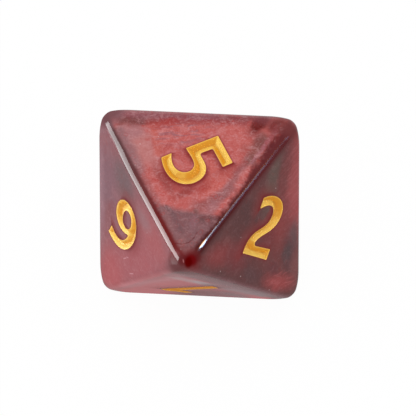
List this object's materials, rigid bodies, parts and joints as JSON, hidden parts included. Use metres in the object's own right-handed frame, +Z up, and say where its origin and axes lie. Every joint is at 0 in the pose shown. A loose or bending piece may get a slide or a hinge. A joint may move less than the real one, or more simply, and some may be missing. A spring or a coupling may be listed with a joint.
{
  "type": "polyhedral die",
  "caption": "Octahedral tabletop gaming die in swirled two-tone resin, with rounded edges, blunted tips and gold-painted engraved numerals.",
  "frame": {"origin": "centre of the face the die rests on, the one numbered 4, at table level", "axes": "+Z up, square to the resting face and to the face numbered 5 on top; -Y towards the tip shared by faces 5, 2, 1 and 6; +X to the right of it"},
  "size_m": [0.018, 0.0202, 0.015],
  "materials": {
    "resin": "gloss",
    "gold_paint": "satin"
  },
  "bodies": {
    "root": {"die_body": "resin", "numeral_1_paint": "gold_paint", "numeral_2_paint": "gold_paint", "numeral_3_paint": "gold_paint", "numeral_4_paint": "gold_paint", "numeral_5_paint": "gold_paint", "numeral_6_paint": "gold_paint", "numeral_7_paint": "gold_paint", "numeral_8_paint": "gold_paint"}
  },
  "joints": []
}
